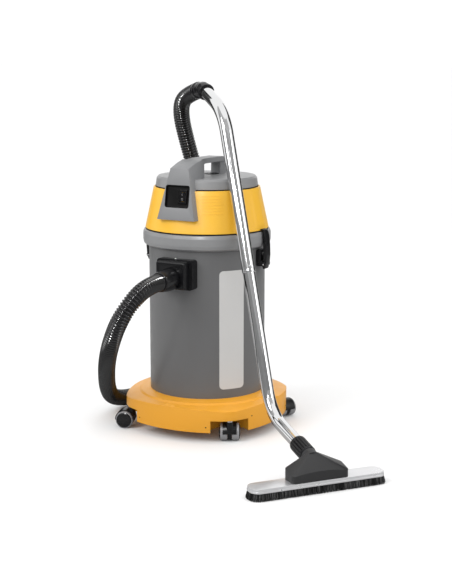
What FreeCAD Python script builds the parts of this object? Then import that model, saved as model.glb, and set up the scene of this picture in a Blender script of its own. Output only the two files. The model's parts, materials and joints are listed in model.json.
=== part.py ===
import FreeCAD, Part
import math
import os
import re
import Sketcher
from FreeCAD import Placement, Rotation, Vector

# A wet and dry vacuum cleaner: round tank on a four-caster dolly, a motor head held by two
# latches, a corrugated hose and a bent two-piece wand with a brush floor tool.
# Origin: on the floor under the tank's axis.  -Y is the front, +X the user's right, +Z up.
# Millimetres.

X_AXIS = Vector(1, 0, 0)
Y_AXIS = Vector(0, 1, 0)
Z_AXIS = Vector(0, 0, 1)

doc = FreeCAD.newDocument("wet_dry_vacuum")
sheet = doc.addObject("Spreadsheet::Sheet", "sizes")

SIZES = {
    # tank and collar
    "tank_radius": 170, "tank_wall": 2.5, "tank_bottom": 100, "tank_top": 560,
    "collar_radius": 187, "collar_bottom": 541, "collar_top": 587, "collar_bore": 160,
    "gasket_thick": 3, "label_width": 77, "label_height": 345, "label_middle": 311,
    "label_thick": 0.6, "label_angle": -36,
    # motor head
    "head_bottom": 590, "skirt_radius": 180.5, "skirt_top": 709, "skirt_top_radius": 155,
    "shell_wall": 3, "plate_thick": 6, "plate_radius": 175, "plate_eye": 24,
    "seal_thick": 2.5, "cap_radius": 149.5, "cap_shoulder": 735, "cap_top": 741.5,
    "can_radius": 54, "fan_case_radius": 70, "fan_case_top": 632, "can_top": 696,
    "shaft_radius": 5, "running_gap": 0.05, "impeller_radius": 62, "fan_radius": 44,
    # filter and float
    "filter_radius": 147.9, "filter_bottom": 380, "cage_radius": 48, "cage_wall": 3,
    "cage_bottom": 497, "float_radius": 32, "float_gap": 0.5,
    # carrying handle and switch panel
    "panel_width": 120, "panel_neck": 58, "panel_bottom": 628, "panel_shoulder": 771,
    "panel_front": 182, "panel_tilt": 9.53, "strap_width": 46, "strap_top": 793,
    "strap_thick": 15, "post_width": 31, "post_depth": 34, "post_back": 87,
    "recess_width": 78, "recess_height": 64, "recess_depth": 10, "recess_middle": 694,
    "switch_width": 25, "switch_height": 36, "switch_offset": 14.7, "rocker_angle": 7,
    # hose inlet
    "inlet_width": 116, "inlet_height": 86, "inlet_middle": 475, "inlet_front": 214,
    "hose_level": 465, "spigot_radius": 25.8, "cuff_radius": 32, "cuff_front": 262,
    # hose and wand
    "hose_diameter": 50, "hose_bore": 46, "wand_radius": 19, "lower_radius": 17.5,
    "wand_wall": 1.4, "wand_angle": 141.65, "wand_foot_x": 551.5, "wand_foot_y": -416.3,
    "wand_cuff_radius": 25, "button_radius": 4,
    # floor tool
    "strip_length": 380, "strip_width": 60, "strip_thick": 12, "bristle_length": 20,
    "tool_length": 168, "tool_width": 54, "tool_wall_height": 20, "collar_grip_radius": 23.5,
    "neck_radius": 20.5, "mouth_width": 30, "mouth_length": 140,
    # dolly base and casters
    "base_flat": 226, "base_corner": 245, "base_side_radius": 333, "base_bottom": 30,
    "base_wall": 4, "deck_under": 88, "lobe_radius": 60, "notch_radius": 56.5,
    "notch_top": 65, "stem_circle": 232, "stem_radius": 5.5, "stem_top": 86,
    "wheel_radius": 25.5, "caster_trail": 19, "hood_radius": 28.4, "hood_width": 40,
    "web_width": 12,
    "axle_radius": 4, "wheel_gap": 0.6,
    # latches
    "latch_pivot_x": 193.5, "latch_pivot_z": 493, "latch_width": 26, "latch_pin": 2.5,
    "bracket_width": 34, "bracket_bottom": 487, "bracket_top": 534.5,
    # cable gland
    "gland_radius": 11, "gland_bore": 4.5, "gland_level": 650, "gland_length": 30,
}

for row, (alias, value) in enumerate(SIZES.items(), start=1):
    sheet.set("A%d" % row, alias)
    sheet.set("B%d" % row, str(value))
    sheet.setAlias("B%d" % row, alias)
doc.recompute()


def size(alias):
    return float(getattr(sheet, alias))


def with_sheet(expression):
    """Put the sheet's name before each alias in an expression."""
    return re.sub(r"[a-z_]{3,}[a-z]", lambda word: "sizes." + word.group(0), str(expression))


def bind(item, prop, expression):
    item.setExpression(prop, with_sheet(expression))


def origin_plane(body, role):
    for feature in body.Origin.OriginFeatures:
        if feature.Role == role:
            return feature
    raise ValueError(role)


def outline_sketch(body, role, points):
    """Closed polyline on an origin plane, each corner pinned by two bound distances."""
    sketch = body.newObject("Sketcher::SketchObject", body.Name + "_outline")
    sketch.AttachmentSupport = (origin_plane(body, role), [""])
    sketch.MapMode = "FlatFace"
    count = len(points)
    start = [Vector(math.cos(2 * math.pi * i / count), math.sin(2 * math.pi * i / count), 0) * 100
             for i in range(count)]
    for i in range(count):
        sketch.addGeometry(Part.LineSegment(start[i], start[(i + 1) % count]), False)
    for i in range(count):
        sketch.addConstraint(Sketcher.Constraint("Coincident", i, 2, (i + 1) % count, 1))
    for i, (across, along) in enumerate(points):
        number = sketch.addConstraint(Sketcher.Constraint("DistanceX", -1, 1, i, 1, start[i].x))
        sketch.setExpression("Constraints[%d]" % number, with_sheet(across))
        number = sketch.addConstraint(Sketcher.Constraint("DistanceY", -1, 1, i, 1, start[i].y))
        sketch.setExpression("Constraints[%d]" % number, with_sheet(along))
    return sketch


def turned(label, points):
    """Body of revolution about Z from (radius, height) corners."""
    body = doc.addObject("PartDesign::Body", label)
    sketch = outline_sketch(body, "XZ_Plane", points)
    turn = body.newObject("PartDesign::Revolution", label + "_turn")
    turn.Profile = sketch
    turn.ReferenceAxis = (sketch, ["V_Axis"])
    turn.Angle = 360
    sketch.Visibility = False
    doc.recompute()
    return body


def extruded(label, role, points, length):
    """Body with one outline padded the same distance to both sides of its plane."""
    body = doc.addObject("PartDesign::Body", label)
    sketch = outline_sketch(body, role, points)
    pad = body.newObject("PartDesign::Pad", label + "_pad")
    pad.Profile = sketch
    pad.Midplane = True
    bind(pad, "Length", length)
    doc.recompute()
    return body


def cylinder(name, radius, height, at=Vector(), axis=Z_AXIS):
    item = doc.addObject("Part::Cylinder", name)
    bind(item, "Radius", radius)
    bind(item, "Height", height)
    item.Placement = Placement(at, Rotation(Z_AXIS, axis))
    return item


def box(name, length, width, height, middle):
    """Box centred on a point."""
    item = doc.addObject("Part::Box", name)
    bind(item, "Length", length)
    bind(item, "Width", width)
    bind(item, "Height", height)
    doc.recompute()
    corner = Vector(item.Length.Value, item.Width.Value, item.Height.Value) * 0.5
    item.Placement = Placement(middle - corner, Rotation())
    return item


def cut(name, base, tool):
    item = doc.addObject("Part::Cut", name)
    item.Base = base
    item.Tool = tool
    doc.recompute()
    return item


def fuse(name, shapes):
    item = doc.addObject("Part::MultiFuse", name)
    item.Shapes = shapes
    doc.recompute()
    return item


def common(name, shapes):
    item = doc.addObject("Part::MultiCommon", name)
    item.Shapes = shapes
    doc.recompute()
    return item


def rounded(name, base, radius, wanted):
    """Fillet the base's edges for which wanted(edge) is true."""
    item = doc.addObject("Part::Fillet", name)
    item.Base = base
    numbers = [i for i, edge in enumerate(base.Shape.Edges, start=1) if wanted(edge)]
    item.Edges = [(number, size(radius) if radius in SIZES else radius,
                   size(radius) if radius in SIZES else radius) for number in numbers]
    doc.recompute()
    return item


def solid(label, shape, placement=None):
    item = doc.addObject("Part::Feature", label)
    item.Shape = shape
    if placement:
        item.Placement = placement
    return item


def moved(item, placement):
    item.Placement = placement.multiply(item.Placement)
    doc.recompute()
    return item


def is_along(edge, direction):
    """A straight edge parallel to a direction."""
    if not isinstance(edge.Curve, Part.Line):
        return False
    return abs(abs(edge.tangentAt(edge.FirstParameter).dot(direction)) - 1) < 1e-6


nodes = []


def keep(item, label):
    item.Label = label
    nodes.append(item)
    return item


# ---------------------------------------------------------------- swept tubes

def tube_path(points):
    """Straight runs joined by the largest arcs that the runs allow; returns wire and radii."""
    edges = []
    radii = []
    last = points[0]
    for before, corner, after in zip(points, points[1:], points[2:]):
        back = (before - corner).normalize()
        ahead = (after - corner).normalize()
        turn = math.pi - back.getAngle(ahead)
        reach = 0.45 * min((before - corner).Length, (after - corner).Length)
        radius = reach / math.tan(turn / 2)
        radii.append(radius)
        start = corner + back * reach
        end = corner + ahead * reach
        middle_way = (back + ahead).normalize()
        centre = corner + middle_way * math.hypot(radius, reach)
        middle = centre - middle_way * radius
        edges.append(Part.LineSegment(last, start).toShape())
        edges.append(Part.Arc(start, middle, end).toShape())
        last = end
    edges.append(Part.LineSegment(last, points[-1]).toShape())
    return Part.Wire(edges), radii


def bent_path(points, radii):
    """Straight runs joined by arcs of stated radii."""
    edges = []
    last = points[0]
    for before, corner, after, radius in zip(points, points[1:], points[2:], radii):
        back = (before - corner).normalize()
        ahead = (after - corner).normalize()
        turn = math.pi - back.getAngle(ahead)
        reach = radius * math.tan(turn / 2)
        middle_way = (back + ahead).normalize()
        centre = corner + middle_way * math.hypot(radius, reach)
        start = corner + back * reach
        end = corner + ahead * reach
        edges.append(Part.LineSegment(last, start).toShape())
        edges.append(Part.Arc(start, centre - middle_way * radius, end).toShape())
        last = end
    edges.append(Part.LineSegment(last, points[-1]).toShape())
    return Part.Wire(edges)


def swept(path, radius):
    """Round bar of one radius along a path."""
    first = path.Edges[0]
    direction = first.tangentAt(first.FirstParameter)
    start = first.valueAt(first.FirstParameter)
    ring = Part.Wire([Part.Circle(start, direction, radius).toShape()])
    return path.makePipeShell([ring], True, False)


# ---------------------------------------------------------------- dolly base

def base_outline(name, side_radius, corner_radius, bottom, top):
    """Rounded square: four wide side arcs meeting the round corners."""
    height = "%s - (%s)" % (top, bottom)
    floor = {"base_bottom": size("base_bottom")}[bottom]
    shapes = [cylinder(name + "_corners", corner_radius, height, Vector(0, 0, floor))]
    offset = size("base_side_radius") - size("base_flat")
    for number, (x, y) in enumerate(((1, 0), (0, 1), (-1, 0), (0, -1))):
        shapes.append(cylinder("%s_side_%d" % (name, number), side_radius, height,
                               Vector(x * offset, y * offset, floor)))
    return common(name, shapes)


CORNERS = {"front": -45, "right": 45, "back": 135, "left": -135}


def stem_place(corner):
    angle = math.radians(CORNERS[corner])
    return Vector(math.cos(angle), math.sin(angle), 0) * size("stem_circle")


def make_base():
    body = base_outline("base_body", "base_side_radius", "base_corner", "base_bottom", "113")
    deck = turned("deck_profile", [
        (0, "base_bottom - 1"), (260, "base_bottom - 1"), (260, 85), (240, 94), (226, 98),
        (204, 102), (199, 107), (181, 109), (174, 112), (0, 112)])
    body = common("base_block", [body, deck])
    hollow = base_outline("base_hollow", "base_side_radius - base_wall",
                          "base_corner - base_wall", "base_bottom", "deck_under")
    lobes = [cylinder("lobe_" + corner, "lobe_radius", "deck_under - base_bottom",
                      stem_place(corner) + Z_AXIS * size("base_bottom"))
             for corner in CORNERS]
    hollow = cut("base_pocket", hollow, fuse("lobes", lobes))
    body = cut("base_shell", body, hollow)
    cuts = [cylinder("tank_seat", "tank_radius + running_gap", 20,
                     Vector(0, 0, size("tank_bottom")))]
    for corner in CORNERS:
        place = stem_place(corner)
        cuts.append(cylinder("notch_" + corner, "notch_radius", "notch_top", place))
        cuts.append(cylinder("stem_bore_" + corner, "stem_radius + running_gap",
                             "stem_top + 1", place))
    keep(cut("dolly_base_shape", body, fuse("base_cuts", cuts)), "dolly_base")


# ---------------------------------------------------------------- casters

# how far each caster trails round from +X, in degrees
CASTER_TRAIL = {"front": 118.5, "right": -26.7, "back": 100, "left": 200}


def make_caster(corner):
    place = Placement(stem_place(corner), Rotation(Z_AXIS, CASTER_TRAIL[corner]))
    axle = Vector(size("caster_trail"), 0, size("wheel_radius"))
    half = size("hood_width") / 2
    web = size("web_width") / 2
    drum = cylinder("drum_" + corner, "hood_radius", "hood_width", axle - Y_AXIS * half, Y_AXIS)
    rooms = [cylinder("wheel_room_%s_%d" % (corner, side), "wheel_radius + 0.9", 40,
                      axle + Y_AXIS * side * web, Y_AXIS * side) for side in (1, -1)]
    keep_box = box("drum_keep_" + corner, 80, 80, 60, axle + Vector(0, 0, 29))
    drum = common("hood_drum_" + corner, [drum, keep_box])
    plate = cylinder("web_" + corner, "wheel_radius - 3", "web_width", axle - Y_AXIS * web,
                     Y_AXIS)
    neck = cylinder("hood_neck_" + corner, 10, 24, Vector(0, 0, 36))
    stub = cylinder("hood_axle_" + corner, "axle_radius", 58, axle - Y_AXIS * 29, Y_AXIS)
    cover = cut("fender_" + corner, fuse("hood_solid_" + corner, [drum, plate, neck]),
                fuse("wheel_rooms_" + corner, rooms))
    hood = fuse("hood_" + corner, [cover, stub])
    keep(moved(hood, place), "caster_hood_" + corner)

    shank = cylinder("shank_" + corner, "stem_radius", "stem_top - 60", Vector(0, 0, 60))
    washer = cylinder("washer_" + corner, 9, 3, Vector(0, 0, 60))
    keep(moved(fuse("stem_" + corner, [shank, washer]), place), "caster_stem_" + corner)

    for side, sign in (("a", 1), ("b", -1)):
        wheel = turned("wheel_%s_%s" % (corner, side), [
            ("axle_radius + running_gap", "web_width / 2 + wheel_gap"),
            ("wheel_radius - 1", "web_width / 2 + wheel_gap"),
            ("wheel_radius", "web_width / 2 + wheel_gap + 1"),
            ("wheel_radius", 24.5), ("wheel_radius - 2", 26.5), ("wheel_radius - 6", 28.6),
            ("wheel_radius - 14", 30.4), (0, 31.2),
            (0, 29.2), ("axle_radius + running_gap", 29.2)])
        turn = Placement(axle, Rotation(Z_AXIS, Y_AXIS * sign))
        keep(moved(wheel, place.multiply(turn)), "caster_wheel_%s_%s" % (corner, side))


# ---------------------------------------------------------------- tank and collar

def make_tank():
    shell = turned("tank_shell", [
        (0, "tank_bottom"), ("tank_radius - 7", "tank_bottom"),
        ("tank_radius", "tank_bottom + 7"), ("tank_radius", "tank_top"),
        ("tank_radius - tank_wall", "tank_top"),
        ("tank_radius - tank_wall", "tank_bottom + 8"),
        ("tank_radius - 8", "tank_bottom + 3"), (0, "tank_bottom + 3")])
    port = cylinder("tank_port", "spigot_radius + 0.4", 40,
                    Vector(0, -size("tank_radius") - 20, size("hose_level")), Y_AXIS)
    keep(cut("tank_with_port", shell, port), "tank")

    keep(turned("collar_ring", [
        ("tank_radius + 0.1", "collar_bottom"), ("tank_radius + 6", "collar_bottom"),
        ("collar_radius - 4", "collar_bottom + 4"), ("collar_radius - 1", "collar_bottom + 10"),
        ("collar_radius", "collar_bottom + 20"), ("collar_radius", "collar_top - 14"),
        ("collar_radius - 2", "collar_top - 4"), ("collar_radius - 6", "collar_top"),
        ("collar_bore", "collar_top"), ("collar_bore", "tank_top"),
        ("tank_radius + 0.1", "tank_top")]), "tank_collar")

    keep(turned("gasket_ring", [
        (166.2, "collar_top"), (180, "collar_top"), (180, "head_bottom"),
        (166.2, "head_bottom")]), "head_gasket")


def make_label():
    outer = cylinder("label_outer", "tank_radius + label_thick", "label_height",
                     Vector(0, 0, size("label_middle") - size("label_height") / 2))
    inner = cylinder("label_inner", "tank_radius", "label_height",
                     Vector(0, 0, size("label_middle") - size("label_height") / 2))
    window = box("label_window", 60, "label_width", "label_height",
                 Vector(size("tank_radius"), 0, size("label_middle")))
    window = rounded("label_corners", window, 12, lambda edge: is_along(edge, X_AXIS))
    turn = Placement(Vector(), Rotation(Z_AXIS, size("label_angle")))
    moved(window, turn)
    keep(common("label_sheet", [cut("label_ring", outer, inner), window]), "tank_label")


# ---------------------------------------------------------------- motor head

def make_head():
    keep(turned("motor_plate_disc", [
        ("plate_eye", "head_bottom"), ("plate_radius", "head_bottom"),
        ("plate_radius", "head_bottom + plate_thick"),
        ("plate_eye", "head_bottom + plate_thick")]), "motor_plate")

    skirt = turned("skirt_shell", [
        ("skirt_radius - shell_wall", "head_bottom"), ("skirt_radius", "head_bottom"),
        ("skirt_top_radius", "skirt_top"), (138, "skirt_top"),
        (138, "skirt_top - shell_wall"), ("skirt_top_radius - shell_wall", "skirt_top - shell_wall")])
    gland_hole = cylinder("gland_hole", "gland_radius", 60,
                          Vector(0, 140, size("gland_level")), Y_AXIS)
    windows = [box("latch_window_%d" % side, 30, 29, 14, Vector(side * 180, 0, 603))
               for side in (1, -1)]
    keep(cut("skirt_cut", skirt, fuse("skirt_holes", [gland_hole] + windows)), "head_skirt")

    keep(turned("cap_seal_ring", [
        (138, "skirt_top"), ("cap_radius + 1", "skirt_top"),
        ("cap_radius + 1", "skirt_top + seal_thick"),
        (138, "skirt_top + seal_thick")]), "cap_seal")

    cap = turned("cap_shell", [
        ("cap_radius - shell_wall", "skirt_top + seal_thick"),
        ("cap_radius", "skirt_top + seal_thick"), ("cap_radius - 3.5", "cap_shoulder"),
        ("cap_radius - 8.5", "cap_top - 1.5"), (60, "cap_top"), (0, "cap_top"),
        (0, "cap_top - shell_wall"), (60, "cap_top - shell_wall"),
        ("cap_radius - 10", "cap_top - shell_wall - 1.5"),
        ("cap_radius - 6.5", "cap_shoulder - 1")])
    slots = [box("cap_slot_%d" % number, 28, 3, 12, Vector(-34, -14 + 9 * number, 741))
             for number in range(5)]
    keep(cut("cap_cut", cap, fuse("cap_slots", slots)), "head_cap")

    gland = cylinder("gland_body", "gland_radius", "gland_length",
                     Vector(0, 154, size("gland_level")), Y_AXIS)
    flange = cylinder("gland_flange", "gland_radius + 3", 6,
                      Vector(0, 172, size("gland_level")), Y_AXIS)
    hole = cylinder("gland_passage", "gland_bore", 60, Vector(0, 140, size("gland_level")), Y_AXIS)
    keep(cut("gland_cut", fuse("gland_solid", [gland, flange]), hole), "cable_gland")


def make_motor():
    keep(turned("housing_shell", [
        ("fan_case_radius", "head_bottom + plate_thick"), ("fan_case_radius", "fan_case_top"),
        ("can_radius", "fan_case_top"), ("can_radius", "can_top"),
        ("shaft_radius + running_gap", "can_top"), ("shaft_radius + running_gap", "can_top - 6"),
        ("can_radius - 4", "can_top - 6"), ("can_radius - 4", "fan_case_top - 4"),
        ("fan_case_radius - 4", "fan_case_top - 4"),
        ("fan_case_radius - 4", "head_bottom + plate_thick")]), "motor_housing")
    keep(turned("stator_ring", [
        (37, 640), ("can_radius - 4", 640), ("can_radius - 4", 680), (37, 680)]), "motor_stator")
    keep(turned("armature_core", [
        (0, 602), ("shaft_radius", 602), ("shaft_radius", 640), (36, 640), (36, 676),
        (16, 676), (16, 686), ("shaft_radius", 686), ("shaft_radius", 712), (0, 712)]),
        "motor_armature")

    hub = turned("impeller_disc", [
        ("shaft_radius", 603), (14, 603), (14, 620), ("impeller_radius", 620),
        ("impeller_radius", 622), ("shaft_radius", 622)])
    blades = []
    for number in range(8):
        blade = box("blade_%d" % number, 46, 2, 14, Vector(38, 0, 613))
        blades.append(moved(blade, Placement(Vector(), Rotation(Z_AXIS, 45 * number))))
    keep(fuse("impeller_wheel", [hub] + blades), "suction_impeller")

    hub = turned("cooler_disc", [
        ("shaft_radius", 698), ("fan_radius", 698), ("fan_radius", 700), (12, 700),
        (12, 710), ("shaft_radius", 710)])
    blades = []
    for number in range(10):
        blade = box("cooler_blade_%d" % number, 26, 2, 9, Vector(30, 0, 704))
        blades.append(moved(blade, Placement(Vector(), Rotation(Z_AXIS, 36 * number))))
    keep(fuse("cooler_wheel", [hub] + blades), "cooling_fan")


def make_filter():
    keep(turned("filter_hoop", [
        ("filter_radius + 0.1", 560), ("filter_radius + 3", 560),
        ("filter_radius + 3", "collar_top"), (166, "collar_top"), (166, "head_bottom"),
        ("filter_radius + 0.1", "head_bottom")]), "filter_ring")
    keep(turned("filter_bag", [
        ("filter_radius", 586), (112, 540), (105, "filter_bottom"), (0, "filter_bottom"),
        (0, "filter_bottom + 2"), (103, "filter_bottom + 2"), (110, 540.5),
        ("filter_radius - 2", 586)]), "cloth_filter")
    cage = turned("cage_tube", [
        (0, "cage_bottom"), ("cage_radius", "cage_bottom"), ("cage_radius", "head_bottom"),
        ("cage_radius - cage_wall", "head_bottom"),
        ("cage_radius - cage_wall", "cage_bottom + cage_wall"), (0, "cage_bottom + cage_wall")])
    slots = []
    for number in range(4):
        slot = box("cage_slot_%d" % number, 120, 20, 60, Vector(0, 0, 545))
        slots.append(moved(slot, Placement(Vector(), Rotation(Z_AXIS, 45 * number))))
    keep(cut("cage_cut", cage, fuse("cage_slots", slots)), "float_cage")
    ball = doc.addObject("Part::Sphere", "float")
    bind(ball, "Radius", "float_radius")
    rest = size("cage_bottom") + size("cage_wall") + size("float_gap") + size("float_radius")
    ball.Placement = Placement(Vector(0, 0, rest), Rotation())
    keep(ball, "float_ball")


# ---------------------------------------------------------------- handle and switch panel

def head_envelope():
    """Solid that fills the skirt and the cap, for fitting the handle on them."""
    return turned("head_fill", [
        (0, "head_bottom"), ("skirt_radius", "head_bottom"), ("skirt_top_radius", "skirt_top"),
        ("cap_radius + 1", "skirt_top"), ("cap_radius + 1", "skirt_top + seal_thick"),
        ("cap_radius", "skirt_top + seal_thick"), ("cap_radius - 3.5", "cap_shoulder"),
        ("cap_radius - 8.5", "cap_top - 1.5"), (60, "cap_top"), (0, "cap_top")])


def panel_frame():
    """Middle of the sloping front panel: its Z runs up the panel, its -Y points out."""
    tilt = math.radians(size("panel_tilt"))
    rise = size("recess_middle") - size("panel_bottom")
    front = -size("panel_front") + rise * math.tan(tilt)
    return Placement(Vector(0, front, size("recess_middle")),
                     Rotation(X_AXIS, -size("panel_tilt")))


def panel_half_width(y, height):
    """The panel narrows upwards and widens towards the back, between two sloping planes."""
    narrowing = (size("panel_width") - size("panel_neck")) / 2 + 2.4
    rise = (height - size("panel_bottom")) / (size("panel_shoulder") - size("panel_bottom"))
    return size("panel_width") / 2 + 0.1 * (y + size("panel_front")) - narrowing * rise


def make_handle():
    side = extruded("panel_side_view", "YZ_Plane", [
        ("-panel_front", "panel_bottom"), (-158, "panel_shoulder"), (-118, 784), (-84, 791),
        (-78, "strap_top - strap_thick"), (-90, "cap_top"), (-94, 725), (-140, "panel_bottom")],
        240)
    ends = []
    for y in (-200, -60):
        low, high = panel_half_width(y, 600), panel_half_width(y, 800)
        ends.append(Part.makePolygon([Vector(-low, y, 600), Vector(low, y, 600),
                                      Vector(high, y, 800), Vector(-high, y, 800),
                                      Vector(-low, y, 600)]))
    flare = solid("panel_flare", Part.makeLoft(ends, True, True))
    wedge = common("panel_wedge", [side, flare])
    strap = extruded("handle_strap", "YZ_Plane", [
        (-118, 784), (-88, 790), (-50, "strap_top"), (55, "strap_top - 1"), ("post_back", 786),
        ("post_back", 776), (52, "strap_top - strap_thick"), (-50, "strap_top - strap_thick"),
        (-100, 766)], "strap_width")
    post = extruded("handle_post", "YZ_Plane", [
        ("post_back - post_depth", 781), ("post_back - 1", 781), ("post_back + 1", 734),
        ("post_back - post_depth - 1", 734)], "post_width")
    block = fuse("handle_block", [wedge, strap, post])
    block = cut("handle_fitted", block, head_envelope())
    recess = box("recess_block", "recess_width", 40, "recess_height",
                 Vector(0, size("recess_depth") - 20, 0))
    recess = rounded("recess_corners", recess, 7, lambda edge: is_along(edge, Y_AXIS))
    pocket = box("switch_pocket", "switch_width - 4", 16, "switch_height - 4",
                 Vector(size("switch_offset"), size("recess_depth") + 2, 0))
    cuts = fuse("handle_cuts", [recess, pocket])
    keep(cut("handle_cut", block, moved(cuts, panel_frame())), "carry_handle")


def make_switch():
    frame = panel_frame()
    depth = size("recess_depth")
    tray = box("tray_block", "recess_width", "recess_depth", "recess_height",
               Vector(0, depth / 2, 0))
    tray = rounded("tray_corners", tray, 7, lambda edge: is_along(edge, Y_AXIS))
    inside = box("tray_inside", "recess_width - 4", "recess_depth", "recess_height - 4",
                 Vector(0, depth / 2 - 2, 0))
    inside = rounded("tray_inside_corners", inside, 5, lambda edge: is_along(edge, Y_AXIS))
    tray = cut("tray_shell", tray, inside)
    offset = size("switch_offset")
    rim = box("switch_rim", "switch_width", 6, "switch_height", Vector(offset, depth - 4, 0))
    rim = rounded("switch_rim_corners", rim, 2, lambda edge: is_along(edge, Y_AXIS))
    hole = box("switch_hole", "switch_width - 6", 20, "switch_height - 8", Vector(offset, 8, 0))
    tray = cut("tray_cut", fuse("tray_solid", [tray, rim]), hole)
    keep(moved(tray, frame), "switch_bezel")

    rocker = extruded("rocker_shape", "YZ_Plane", [
        (-2, -13), (-0.6, 0), (-2, 13), (3.5, 11), (6, 5), (6, -5), (3.5, -11)],
        "switch_width - 7")
    tilt = Placement(Vector(offset, depth - 6, 0), Rotation(X_AXIS, size("rocker_angle")))
    keep(moved(rocker, frame.multiply(tilt)), "switch_rocker")


def make_intake():
    disc = cylinder("intake_disc", 23, 1.5, Vector(0, 27, size("cap_top")))
    keep(disc, "intake_mesh")


# ---------------------------------------------------------------- hose inlet

def make_inlet():
    level = size("inlet_middle")
    flange = box("inlet_flange", "inlet_width", 34, "inlet_height", Vector(0, -171, level))
    flange = rounded("inlet_flange_round", flange, 9, lambda edge: is_along(edge, Y_AXIS))
    block = box("inlet_block", "inlet_width - 22", 44, "inlet_height - 8",
                Vector(0, 22 - size("inlet_front"), level))
    block = rounded("inlet_round", block, 7, lambda edge: is_along(edge, Y_AXIS))
    front = -size("inlet_front")
    block = rounded("inlet_bevel", block, 5,
                    lambda edge: abs(edge.BoundBox.YMin - front) < 0.01
                    and abs(edge.BoundBox.YMax - front) < 0.01)
    block = fuse("inlet_solid", [flange, block])
    wall = cylinder("inlet_back", "tank_radius", 200, Vector(0, 0, level - 100))
    hose_level = size("hose_level")
    bore = cylinder("inlet_bore", "spigot_radius + 0.1", 90, Vector(0, -240, hose_level), Y_AXIS)
    keep(cut("inlet_cut", block, fuse("inlet_cuts", [wall, bore])), "inlet_housing")

    screw = cylinder("inlet_screw_head", 4, 2, Vector(0, -180, level + size("inlet_height") / 2))
    keep(screw, "inlet_screw")

    # the deflector turns the incoming air down along the tank wall
    outer = cylinder("deflector_outer", "spigot_radius + 5", 50,
                     Vector(0, -176, hose_level), Y_AXIS)
    inner = cylinder("deflector_inner", "spigot_radius + 2", 47,
                     Vector(0, -176, hose_level), Y_AXIS)
    mouth = box("deflector_mouth", 50, 30, 60, Vector(0, -144, hose_level - 30))
    shell = cut("deflector_shell", outer, fuse("deflector_cuts", [inner, mouth]))
    wall = cylinder("deflector_fit", "tank_radius - tank_wall", 200, Vector(0, 0, level - 100))
    keep(common("deflector_fitted", [shell, wall]), "inlet_deflector")

    cuff = turned("cuff_sleeve", [
        ("hose_bore / 2", 176), ("spigot_radius", 176), ("spigot_radius", "inlet_front"),
        ("cuff_radius - 1", "inlet_front"), ("cuff_radius", "inlet_front + 2"),
        ("cuff_radius", "inlet_front + 30"), ("cuff_radius - 3", "cuff_front - 8"),
        ("cuff_radius - 4", "cuff_front"), ("hose_bore / 2", "cuff_front")])
    place = Placement(Vector(0, 0, hose_level), Rotation(X_AXIS, 90))
    keep(moved(cuff, place), "inlet_cuff")


# ---------------------------------------------------------------- wand

# corners of the wand's centre line: distance towards the tank, height
WAND_CORNERS = [(50, 77.5), (120, 93), (274, 127), (605, 929), (731, 976)]
WAND_CUFF_CORNERS = [(731, 976), (759, 986.5), (800, 979)]
WAND_BENDS = (130, 150)
WAND_JOINT = 0.455
INSERT = 40


def wand_place():
    return Placement(Vector(size("wand_foot_x"), size("wand_foot_y"), 0),
                     Rotation(Z_AXIS, size("wand_angle")))


def on_wand(along, up):
    return wand_place().multVec(Vector(along, 0, up))


def make_wand():
    foot, entry, low, high, top = [on_wand(*corner) for corner in WAND_CORNERS]
    foot = entry + (entry - low).normalize() * 70
    joint = low + (high - low) * WAND_JOINT
    run = (high - low).normalize()
    wall = size("wand_wall")

    lower_path = bent_path([foot, low, joint + run * INSERT], [WAND_BENDS[0]])
    outer = swept(lower_path, size("lower_radius"))
    inner = swept(lower_path, size("lower_radius") - wall)
    across = wand_place().Rotation.multVec(Vector(-math.sin(math.radians(67.5)), 0,
                                                  math.cos(math.radians(67.5))))
    pin_at = joint + run * 14
    hole = Part.makeCylinder(size("button_radius") + 0.3, 40, pin_at, across)
    lower = solid("lower_wand_tube", outer.cut(inner).cut(hole))
    keep(lower, "lower_wand")

    cuff_inside = top + (top - high).normalize() * 28
    upper_path = bent_path([joint, high, cuff_inside], [WAND_BENDS[1]])
    outer = swept(upper_path, size("wand_radius"))
    inner = swept(upper_path, size("lower_radius") + 0.05)
    keep(solid("upper_wand_tube", outer.cut(inner).cut(hole)), "upper_wand")

    button = Part.makeCylinder(size("button_radius"), 8.8, pin_at + across * 13.2, across)
    button = button.fuse(Part.makeCylinder(size("button_radius") + 1.6, 1,
                                           pin_at + across * 13.2, across))
    keep(solid("wand_button_pin", button), "wand_button")

    start, corner, end = [on_wand(*point) for point in WAND_CUFF_CORNERS]
    cuff_path, radii = tube_path([start, corner, end])
    print("wand cuff radius", [round(radius) for radius in radii])
    outer = swept(cuff_path, size("wand_cuff_radius"))
    bore = Part.makeCylinder(size("wand_radius") + 0.05, 28.1, start, (corner - start).normalize())
    passage = swept(cuff_path, size("lower_radius") - 2)
    keep(solid("wand_cuff_elbow", outer.cut(bore).cut(passage)), "wand_cuff")
    return corner, end


# ---------------------------------------------------------------- hose

# the hose leaves the inlet cuff, drops to the floor beside the tank, lies round behind
# the dolly and rises to the wand's upper end
HOSE_ROUTE = [
    (0, -262, 465), (0, -331, 465), (-17, -387, 430), (-48, -408, 372), (-90, -386, 300),
    (-144, -323, 232), (-200, -243, 168), (-251, -162, 106), (-292, -79, 54),
    (-303, 9, 27), (-280, 101, 26), (-243, 191, 26), (-206, 270, 52), (-174, 320, 112),
    (-154, 330, 205), (-144, 316, 325), (-144, 286, 470), (-151, 253, 610),
    (-166, 222, 725), (-179, 192, 822), (-182, 163, 898), (-164, 138, 946)]


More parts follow.
